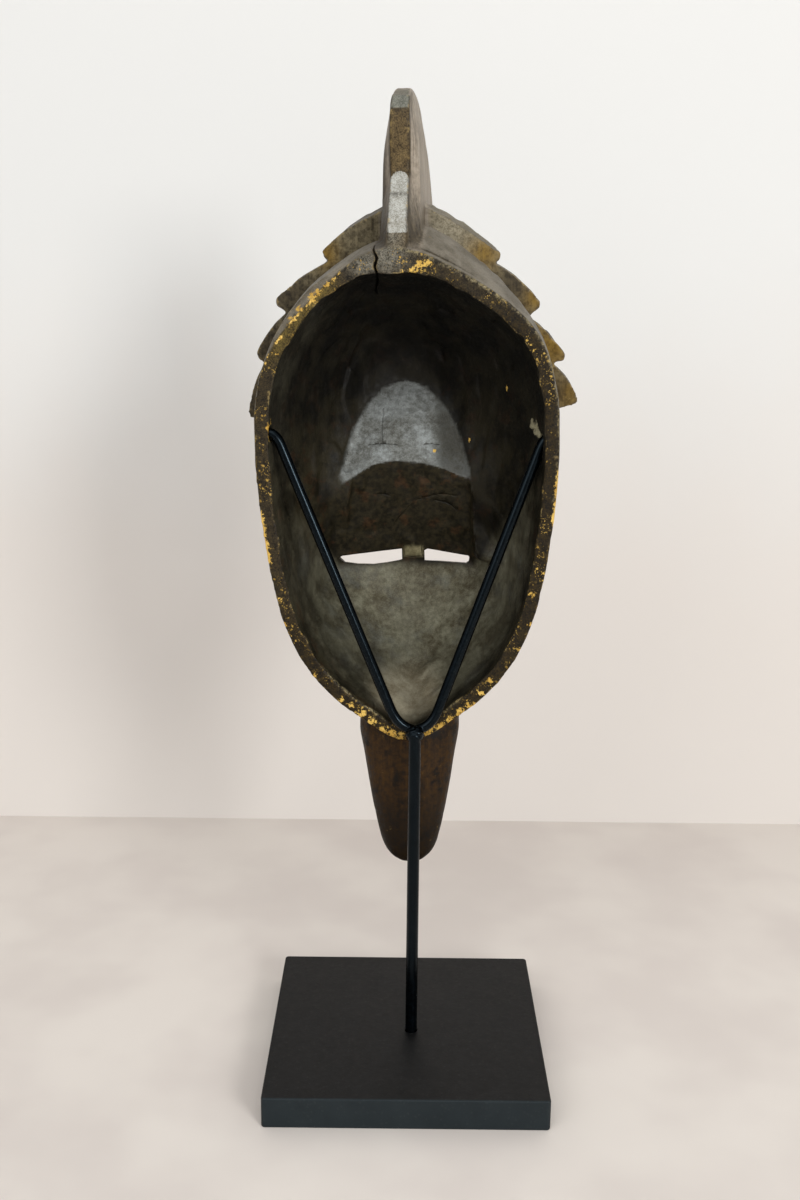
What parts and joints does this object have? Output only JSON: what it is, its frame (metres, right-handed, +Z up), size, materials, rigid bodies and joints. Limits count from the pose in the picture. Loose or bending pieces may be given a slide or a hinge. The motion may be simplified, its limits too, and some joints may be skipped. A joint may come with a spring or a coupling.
{
  "type": "carved wooden face mask on a display stand",
  "caption": "Hollow carved wooden face mask with a tall crown fin, saw-toothed crest, slit eyes and beard, held from behind by a forked steel rod on a square black base.",
  "frame": {"origin": "middle of the base's underside", "axes": "+Z up along the rod; the mask's face looks along -Y and its hollow back along +Y; +X is the mask's own left"},
  "size_m": [0.1775, 0.1831, 0.5234],
  "materials": {
    "mask": "dark brown to black patina over ochre wood, worn and matt, with a blue-grey sheen on handled surfaces",
    "fork_and_rod": "satin black paint on bent steel rod",
    "base": "matt black paint"
  },
  "bodies": {
    "root": {"mask": "mask", "fork_and_rod": "fork_and_rod", "base": "base"}
  },
  "joints": []
}
